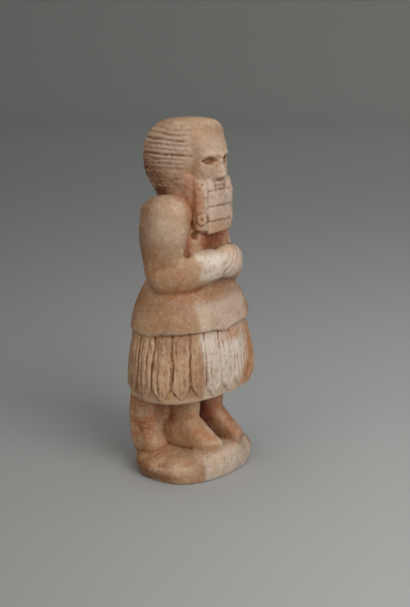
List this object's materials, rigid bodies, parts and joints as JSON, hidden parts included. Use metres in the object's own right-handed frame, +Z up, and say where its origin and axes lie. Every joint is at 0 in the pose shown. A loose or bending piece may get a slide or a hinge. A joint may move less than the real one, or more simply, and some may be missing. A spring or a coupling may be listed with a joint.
{
  "type": "stone statuette",
  "caption": "Standing worshipper with clasped hands, long tiered beard and fringed skirt, carved with its rounded plinth from one block of alabaster.",
  "frame": {"origin": "centre of the flat underside of the plinth", "axes": "+Z up along the figure's height; the figure faces -Y and its right arm is at -X"},
  "size_m": [0.1064, 0.0745, 0.25],
  "materials": {
    "alabaster": "weathered tan alabaster, smooth on the worn fronts and pitted low at the back, with red-brown stains in the hollows"
  },
  "bodies": {
    "root": {"worshipper_statuette": "alabaster"}
  },
  "joints": []
}
